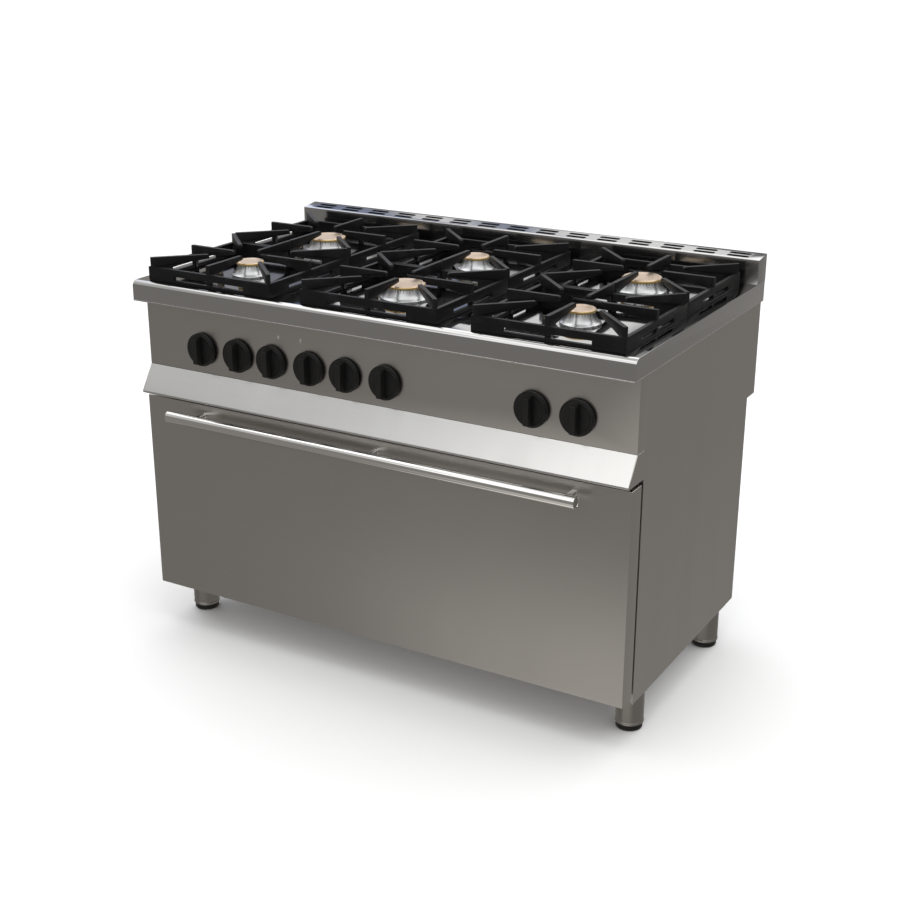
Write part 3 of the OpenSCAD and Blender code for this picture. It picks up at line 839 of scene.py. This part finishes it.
def makeFeet():
    s = footSizes
    for name in footNames:
        low, high = at[name]
        spot, radius, padTop = middle(name), (high.x - low.x) / 2, 14 * mm
        pad = turned(softened([(0, 0), (radius - 2.5 * mm, 0, 0.6 * mm), (radius, 3 * mm, 1 * mm),
                               (radius, padTop, 1.5 * mm), (radius - 3 * mm, padTop), (0, padTop)], 4), 72)
        for vert in pad.vertices:
            reach = math.hypot(vert.co.x, vert.co.y)
            if reach > radius - 0.3 * mm:
                wave = 0.5 - 0.5 * math.cos(s["grips"] * math.atan2(vert.co.y, vert.co.x))
                vert.co.x *= 1 - wave * s["grip"] / radius / 2
                vert.co.y *= 1 - wave * s["grip"] / radius / 2
        line = [(0, padTop - 1 * mm), (s["stem"], padTop - 1 * mm)]
        pitch = (s["stemTop"] - padTop) / s["turns"]
        for i in range(s["turns"]):
            z = padTop + pitch * i
            line += [(s["stem"], z + pitch * 0.2), (s["stem"] - s["thread"], z + pitch * 0.6)]
        line += [(s["stem"] - s["thread"], s["stemTop"]), (0, s["stemTop"])]
        mesh = joined(moved(pad, (spot.x, spot.y, 0)), moved(turned(line, 24), (spot.x, spot.y, 0)))
        piece(name + "_pad", mesh, plastic, name, [name], 30)


# Knobs: a round skirt with a full-height grip bar that narrows outwards, bored for its spindle
knobSizes = dict(millimetres(skirt=37, skirtHeight=6, step=34, stepHeight=9, barHalf=8, barHeight=26,
                             barReach=36, edge=1.6, bore=4.06, boreDepth=19.5), barTaper=0.26,
                 endTaper=0.22)


def makeKnobs():
    s = knobSizes
    skirt = turned(softened([
        (0, 0), (s["skirt"], 0, 0.8 * mm), (s["skirt"], s["skirtHeight"], 1.6 * mm),
        (s["step"] + 0.8 * mm, s["skirtHeight"] + 0.2 * mm, 0.8 * mm), (s["step"], s["stepHeight"], 1.2 * mm),
        (s["step"] - 3 * mm, s["stepHeight"], 1.2 * mm),
        (s["step"] - 6 * mm, s["stepHeight"] - 0.8 * mm, 1 * mm), (0, s["stepHeight"] - 0.8 * mm)], 4), 72)
    bar = block((-s["barHalf"], -s["skirt"], 0.5 * mm), (s["barHalf"], s["skirt"], s["barHeight"]))
    bar = carved(bar, rod(s["barReach"], -0.01, 0.04, 64), "INTERSECT")
    for vert in bar.vertices:
        vert.co.x *= 1 - s["barTaper"] * vert.co.z / s["barHeight"]
        vert.co.y *= 1 - s["endTaper"] * vert.co.z / s["barHeight"]
    bar = bevelled(bar, s["edge"], 3, 50)
    knob = carved(carved(skirt, bar, "UNION"), rod(s["bore"], -0.01, s["boreDepth"], 32))
    for name in knobNames:
        low, high = at[name]
        spot = middle(name)
        mesh = moved(knob, (spot.x, high.y, spot.z), turnAbout("X", 90))
        piece(name + "_grip", mesh, plastic, name, [name], 40)


# Grates: a slotted cast frame with four middle fingers and four corner fins, level on top
grateSizes = millimetres(wall=9, wallHeight=30, slotLow=6, slotHigh=15, slotX=94, slotY=80,
                         middleLength=118, cornerLength=128, thick=9, tip=9, shoulder=14, edge=1.3)


def gratePlan(height, halfX, halfY):
    s = grateSizes

    def finger(length, shift, degrees):
        outline = [(0, 0), (0, height), (length - 3 * mm, height), (length, height - 3 * mm),
                   (length, height - s["tip"]), (length * 0.45, height - s["tip"] - 9 * mm),
                   (s["shoulder"], s["wallHeight"] - 4 * mm), (s["wall"] + 1 * mm, 0)]
        outline = [(x, -s["thick"] / 2, z) for x, z in outline]
        return moved(prism(outline, (0, s["thick"], 0)), shift, turnAbout("Z", degrees))
    frameMesh = block((-halfX, -halfY, 0), (halfX, halfY, s["wallHeight"]))
    wall = s["wall"]
    insideX, insideY, across = halfX - wall, halfY - wall, 0.5
    for x, y, bottom, top in ((insideX, insideY, -0.01, 0.05),
                              (s["slotX"], across, s["slotLow"], s["slotHigh"]),
                              (across, s["slotY"], s["slotLow"], s["slotHigh"])):
        frameMesh = carved(frameMesh, block((-x, -y, bottom), (x, y, top)))
    fingers = []
    for turn in (0, 180):
        side = -1 if turn == 0 else 1
        fingers.append(finger(s["middleLength"], (side * (halfX - 1 * mm), 0, 0), turn))
        fingers.append(finger(s["middleLength"], (0, side * (halfY - 1 * mm), 0), turn + 90))
        for slant in (-1, 1):
            corner = (side * (halfX - 3.5 * mm), side * slant * (halfY - 3.5 * mm), 0)
            fingers.append(finger(s["cornerLength"], corner, turn + slant * 45))
    return bevelled(carved(frameMesh, joined(*fingers), "UNION"), s["edge"], 2, 35)


def makeGrates():
    low, high = at[grateNames[0]]
    plan = gratePlan(high.z - low.z, (high.x - low.x) / 2, (high.y - low.y) / 2)
    for name in grateNames:
        spot = middle(name)
        piece(name + "_cast", moved(plan, (spot.x, spot.y, at[name][0].z)), castBlack, name, [name],
              40)


# Burners: flared crowns with ports cut by a tree, dished brass caps, and small pilots
burnerSizes = dict(millimetres(large=43, small=31, capTop=33, capThick=7, portWidth=1.6, portHeight=5,
                               throat=27.6), ports=30)


def crownTree():
    def make(graph, given):
        sockets = {"Vertices": given["ports"], "Radius": given["radius"]}
        ring = graph.add("GeometryNodeMeshCircle", {}, sockets)
        place = graph.add("GeometryNodeInputPosition")
        aim = graph.add("FunctionNodeAlignRotationToVector", {"axis": "X"}, {"Vector": place})
        size = graph.vector(0.008, given["portWidth"], given["portHeight"])
        cutter = graph.add("GeometryNodeMeshCube", {}, {"Size": size})
        cutters = graph.add("GeometryNodeInstanceOnPoints", {}, {"Points": ring, "Instance": cutter,
                                                                 "Rotation": aim})
        lift = graph.vector(z=given["height"])
        cutters = graph.add("GeometryNodeTransform", {}, {"Geometry": cutters, "Translation": lift})
        cutters = graph.add("GeometryNodeRealizeInstances", {}, {"Geometry": cutters})
        return graph.add("GeometryNodeMeshBoolean", {"operation": "DIFFERENCE", "solver": "EXACT"},
                         {"Mesh 1": given["Geometry"], "Mesh 2": cutters})
    inputs = {"ports": int, "radius": float, "portWidth": float, "portHeight": float, "height": float}
    return growTree("burner_ports", inputs, make)


def makeBurners():
    s = burnerSizes
    tree = crownTree()
    crowns, caps = [], []
    for large in (True, False):
        capRadius = s["large"] if large else s["small"]
        top, foot = capRadius - 4 * mm, capRadius + 11 * mm
        rim = s["capTop"] - s["capThick"]
        line = softened([
            (s["throat"], 0), (foot, 0, 0.8 * mm), (foot, 4 * mm, 1.5 * mm), (foot - 5 * mm, 7 * mm, 3 * mm),
            (top + 4 * mm, 15 * mm, 8 * mm), (top + 0.5 * mm, rim - 1 * mm, 1 * mm), (top, rim),
            (20 * mm, rim), (20 * mm, rim - 5 * mm), (s["throat"], 10 * mm)], 5)
        crown = turned(line, 90, closed=True)
        values = {"ports": s["ports"] + (10 if large else 0), "radius": top, "portWidth": s["portWidth"],
                  "portHeight": s["portHeight"], "height": rim - 2 * mm}
        crown = grown(tree, crown, values, crownAlloy)
        r = capRadius
        cap = turned(softened([
            (0, rim), (r - 1.5 * mm, rim, 0.6 * mm), (r, rim + 2 * mm, 0.8 * mm),
            (r, rim + 4.5 * mm, 1.4 * mm), (r - 3 * mm, s["capTop"], 1.4 * mm),
            (r - 8 * mm, s["capTop"], 1 * mm), (r - 9.5 * mm, s["capTop"] - 1 * mm, 1 * mm), (0, s["capTop"] - 1 * mm)], 4), 72)
        for i, spot in enumerate(burnerSpots):
            if (i in (1, 3, 5)) == large:
                crowns.append(moved(crown, spot))
                caps.append(moved(cap, spot))
    piece("burner_crowns", joined(*crowns), crownAlloy, "range", ["burner_heads"])
    piece("burner_lids", joined(*caps), capBrass, "range", ["burner_caps"])
    bottom, tip = at["pilot_burners"][0].z - hobZ, at["pilot_burners"][1].z - hobZ
    pilot = turned(softened([(0, bottom), (5 * mm, bottom), (5 * mm, 0.1 * mm), (9 * mm, 0.1 * mm, 0.4 * mm),
                             (9 * mm, 2 * mm, 0.8 * mm), (5 * mm, 2.4 * mm, 0.5 * mm),
                             (5 * mm, tip - 6 * mm, 0.8 * mm), (3.6 * mm, tip - 4 * mm, 0.6 * mm),
                             (3.6 * mm, tip, 0.8 * mm), (0, tip)], 3), 28)
    piece("pilots", joined(*[moved(pilot, spot) for spot in pilotSpots()]), pilotBrass, "range",
          ["pilot_burners"])


# Screws: a cross-slotted head repeated at each place, turned to face out
screwSizes = dict(millimetres(head=4, rise=2, slot=0.9, inset=7, studZ=753),
                  heights=(140 * mm, 340 * mm, 540 * mm), studX=(-236 * mm, -178 * mm))


def screwTree():
    def make(graph, given):
        head = graph.add("GeometryNodeObjectInfo", {}, {"Object": given["head"]}, "Geometry")
        settings = {"data_type": "FLOAT_VECTOR"}
        facing = graph.add("GeometryNodeInputNamedAttribute", settings, {"Name": "facing"})
        aim = graph.add("FunctionNodeAlignRotationToVector", {"axis": "Z"}, {"Vector": facing})
        return graph.add("GeometryNodeInstanceOnPoints", {}, {"Points": given["Geometry"], "Instance": head,
                                                              "Rotation": aim, "Scale": given["size"]})
    return growTree("screws", {"head": bpy.types.Object, "size": float}, make)


def makeScrews():
    s = screwSizes
    r, h, w = s["head"], s["rise"], s["slot"]
    line = softened([(0, 0), (r, 0), (r, h * 0.4, 0.5 * mm), (r * 0.6, h * 0.9, 0.8 * mm), (0, h)], 3)
    dome = turned(line, 28)
    cross = block((-r * 0.55, -w / 2, h * 0.45), (r * 0.55, w / 2, h * 2))
    dome = carved(dome, cross)
    dome = carved(dome, moved(cross, (0, 0, 0), turnAbout("Z", 90)))
    backY, panelY = at["back_panel"][1].y, at["control_panel"][0].y
    sideX = at["side_panel_right"][1].x
    places = []
    for side in (-1, 1):
        places += [(side * (sideX - s["inset"]), backY, z) for z in s["heights"]]
    points = pointsMesh(places)
    facing = points.attributes.new("facing", "FLOAT_VECTOR", "POINT")
    for entry in facing.data:
        entry.vector = (0, 1, 0)
    head = placed("screw_head", dome)
    mesh = grown(screwTree(), points, {"head": head, "size": 1.0}, topSteel)
    bpy.data.objects.remove(head)
    piece("screws", mesh, topSteel, "range", ["fasteners"])
    stud = turned(softened([(0, 0), (5 * mm, 0), (4.6 * mm, 0.5 * mm, 0.3 * mm), (3 * mm, 1.1 * mm, 0.8 * mm),
                            (0, 1.3 * mm)], 4), 32)
    for vert in stud.vertices:
        vert.co.x *= 0.75
    studs = [moved(stud, (x, panelY, s["studZ"]), turnAbout("X", 90)) for x in s["studX"]]
    piece("panel_studs", joined(*studs), studMetal, "range", ["fasteners"])


# Oven rack: a rounded frame of rod with wires across, all from a tree
rackSizes = dict(millimetres(frame=4, wire=2, pitch=36, corner=14), bars=(-69 * mm, 87 * mm), count=25)


def rackTree():
    def make(graph, given):
        width, depth, rod, wire = given["width"], given["depth"], given["rod"], given["wire"]
        path = graph.add("GeometryNodeCurvePrimitiveQuadrilateral", {}, {"Width": width, "Height": depth})
        path = graph.add("GeometryNodeFilletCurve", {"mode": "POLY"},
                         {"Curve": path, "Radius": given["corner"], "Count": 6})

        def wired(curve, radius, sides, caps):
            ring = graph.add("GeometryNodeCurvePrimitiveCircle", {"mode": "RADIUS"},
                             {"Resolution": sides, "Radius": radius})
            sockets = {"Curve": curve, "Profile Curve": ring, "Fill Caps": caps}
            return graph.add("GeometryNodeCurveToMesh", {}, sockets)
        outer = wired(path, rod, 14, False)
        end = graph.vector(y=depth * 0.5)
        start = graph.vector(y=depth * -0.5)
        line = graph.add("GeometryNodeCurvePrimitiveLine", {}, {"Start": start, "End": end})
        strand = wired(line, wire, 10, True)
        spots = rowOf(graph, given, z=wire)
        strands = graph.add("GeometryNodeInstanceOnPoints", {}, {"Points": spots, "Instance": strand})
        return graph.add("GeometryNodeJoinGeometry", {}, {"Geometry": [outer, strands]})
    inputs = {"width": float, "depth": float, "rod": float, "wire": float, "corner": float, "pitch": float,
              "count": int}
    return growTree("wire_rack", inputs, make)


def makeRack():
    s = rackSizes
    low, high = at["oven_rack"]
    values = {"width": high.x - low.x - 2 * s["frame"], "depth": high.y - low.y - 2 * s["frame"],
              "rod": s["frame"], **{key: s[key] for key in ("wire", "corner", "pitch", "count")}}
    mesh = grown(rackTree(), pointsMesh([]), values, wireChrome)
    centre = middle("oven_rack")
    wire = rod(s["wire"], low.x + s["frame"], high.x - s["frame"], 12)
    bars = [moved(wire, (0, y, low.z + s["wire"]), turnAbout("Y", 90)) for y in s["bars"]]
    mesh = joined(moved(mesh, (centre.x, centre.y, low.z + s["frame"])), *bars)
    piece("wire_rack", mesh, wireChrome, "range", ["oven_rack"], 50)


# Louvre hoods pressed out over the back panel's slots
louvreSizes = dict(millimetres(pitch=90, rowPitch=24, length=54, hood=7), count=10,
                   place=(5 * mm, 183 * mm))


def louvreTree():
    def make(graph, given):
        hood = graph.add("GeometryNodeObjectInfo", {}, {"Object": given["hood"]}, "Geometry")
        rows = doubled(graph, rowOf(graph, given), graph.vector(z=given["rowPitch"]))
        return graph.add("GeometryNodeInstanceOnPoints", {}, {"Points": rows, "Instance": hood})
    inputs = {"hood": bpy.types.Object, "count": int, "pitch": float, "rowPitch": float}
    return growTree("louvres", inputs, make)


def makeLouvres():
    s = louvreSizes
    half, r = s["length"] / 2, s["hood"]
    bm = bmesh.new()
    arc = [(r * math.sin(a), r * math.cos(a)) for a in [math.pi / 2 * k / 6 for k in range(7)]]
    rows = []
    for x, scale in ((-half, 0.02), (-half + 3 * mm, 0.75), (-half + 7 * mm, 1), (half - 7 * mm, 1),
                     (half - 3 * mm, 0.75), (half, 0.02)):
        rows.append([bm.verts.new((x, y * scale, z)) for y, z in arc])
    for a, b in zip(rows, rows[1:]):
        for k in range(len(arc) - 1):
            bm.faces.new((a[k], b[k], b[k + 1], a[k + 1]))
    bmesh.ops.recalc_face_normals(bm, faces=bm.faces)
    if sum(f.normal.y for f in bm.faces) < 0:
        bmesh.ops.reverse_faces(bm, faces=bm.faces)
    hood = placed("louvre_hood", thickened(meshFrom(bm, False), 0.8 * mm))
    values = {"hood": hood, **{key: s[key] for key in ("count", "pitch", "rowPitch")}}
    mesh = grown(louvreTree(), pointsMesh([]), values, zinc)
    bpy.data.objects.remove(hood)
    x, z = s["place"]
    piece("back_louvres", moved(mesh, (x, at["back_panel"][1].y, z)), zinc, "range")


for step in (makeWorktop, makeSides, makeControlPanel, makeDeflector, makeDoor, makeHandle, makeRiser,
             makeLegs, makeFeet, makeKnobs, makeGrates, makeBurners, makeScrews, makeRack, makeLouvres):
    step()
    print("made:", step.__name__[4:])


# Studio: a pale floor, a dome that is dark low in front and bright above, and a soft key light
floorMesh = bpy.data.meshes.new("floor")
floorReach = 60
floorMesh.from_pydata([(x * floorReach, y * floorReach, 0) for x, y in ((-1, -1), (1, -1), (1, 1), (-1, 1))],
                      [], [(0, 1, 2, 3)])
floor = placed("floor", floorMesh)
floor.visible_glossy = False
floorPaint = emptied(bpy.data.materials.new("floor_paint"))
floorMesh.materials.append(shade(floorPaint, rgb(0.77, 0.77, 0.77), 0.9, None, {"Specular IOR Level": 0.1}))


def glow(level, blue=0.0):
    return (level * (1 - 0.35 * blue), level * (1 - 0.2 * blue), level * (1 + 0.3 * blue), 1.0)


# Round the horizon, places run from 0 and 1 at the front through 0.25 at the left and 0.5 at the back;
# the levels are shares of the dome's strength
studio = {
    "strength": 3.0, "backdrop": 1.1,
    "overhead": 0.72, "overheadStart": 0.60, "overheadTilt": 0.23, "zenith": 0.30,
    "edge": 0.31, "edgeTilt": 0.09, "edgeSoft": 0.05,
    "horizon": [(0.0, 0.57), (0.080, 0.57), (0.092, 0.34), (0.106, 0.235), (0.20, 0.235),
                (0.28, 0.32), (0.36, 0.52, 0.2), (0.387, 0.52, 0.4), (0.391, 0.10, 0.9),
                (0.4035, 0.10, 0.9), (0.4048, 0.37), (0.4112, 0.37), (0.4125, 0.10, 0.9),
                (0.420, 0.10, 0.9), (0.4215, 0.37), (0.443, 0.37), (0.4455, 0.05),
                (0.52, 0.06), (0.62, 0.12), (0.75, 0.26), (0.85, 0.33),
                (0.93, 0.52), (1.0, 0.57)],
    "ground": [(0.0, 1.0), (0.068, 1.0), (0.077, 0.87), (0.090, 0.42), (0.112, 0.12),
               (0.13, 0.0), (0.20, 0.0), (0.30, 0.1), (0.85, 0.1), (0.95, 1.0),
               (1.0, 1.0)],
    "groundLevel": 0.098, "groundRise": 0.085, "groundDeep": 0.25, "groundTint": (1.0, 0.965, 0.92)}


def makeWorld():
    s = studio
    bpy.context.scene.world = bpy.data.worlds.new("studio")
    graph = emptied(bpy.context.scene.world)
    x, y, z = graph.parts(graph.add("ShaderNodeTexCoord", {}, {}, "Generated"))
    around = x.math("ARCTAN2", x, y) * (0.5 / math.pi) + 0.5

    def ramp(stops):
        stops = [(position, glow(*level)) for position, *level in stops]
        return graph.add("ShaderNodeValToRGB", {"stops": stops}, {0: around})
    upper = ramp(s["horizon"])
    overhead = graph.spread(z + y * s["overheadTilt"], s["overheadStart"], s["overheadStart"] + 0.14)
    softbox = graph.mix(graph.spread(z, 0.88, 0.96), glow(s["overhead"]), glow(s["zenith"]))
    upper = graph.mix(overhead, upper, softbox)
    share = graph.add("ShaderNodeSeparateColor", {}, {0: ramp(s["ground"])})
    depth = graph.spread(z, -0.33, -0.585, 0.0, 1.5)
    ground = s["groundLevel"] + depth * share * s["groundRise"]
    ground = ground + graph.spread(z, -0.84, -0.94) * s["groundDeep"]
    lower = graph.mix(1.0, graph.grey(ground), rgb(*s["groundTint"]), "MULTIPLY")
    edge = s["edge"] - y * s["edgeTilt"]
    rise = graph.add("ShaderNodeMapRange", {"clamp": True, "interpolation_type": "SMOOTHSTEP"},
                     {0: z, 1: edge - s["edgeSoft"], 2: edge + s["edgeSoft"], 3: 0.0, 4: 1.0})
    colour = graph.mix(rise, lower, upper)
    sky = graph.add("ShaderNodeBackground", {}, {"Color": colour, "Strength": s["strength"]})
    backdrop = graph.add("ShaderNodeBackground", {}, {"Color": glow(1.0), "Strength": s["backdrop"]})
    seen = graph.add("ShaderNodeLightPath", {}, {}, "Is Camera Ray")
    both = graph.add("ShaderNodeMixShader", {}, {0: seen, 1: sky, 2: backdrop})
    graph.add("ShaderNodeOutputWorld", {}, {"Surface": both})


def areaLight(name, place, aim, size, power):
    data = bpy.data.lights.new(name, "AREA")
    data.shape = "DISK"
    data.size = size
    data.energy = power
    lamp = placed(name, data)
    lamp.location = place
    lamp.visible_glossy = False
    lamp.rotation_euler = (Vector(aim) - Vector(place)).to_track_quat("-Z", "Y").to_euler()


makeWorld()
areaLight("key", (0.2, -0.4, 3.8), (0, 0, 0.5), 2.4, 42)

view = bpy.context.scene.view_settings
view.view_transform = "Standard"
view.look = "None"

cameraSizes = {"place": (1.6046, -2.7268, 1.6122), "pitch": 0.3617, "yaw": 0.5296, "lens": 59.24,
               "shift": (0.0030, 0.0158)}
cameraData = bpy.data.cameras.new("camera")
cameraData.lens = cameraSizes["lens"]
cameraData.sensor_width = 36
cameraData.shift_x, cameraData.shift_y = cameraSizes["shift"]
camera = placed("camera", cameraData)
camera.location = cameraSizes["place"]
camera.rotation_euler = (math.pi / 2 - cameraSizes["pitch"], 0, cameraSizes["yaw"])
bpy.context.scene.camera = camera
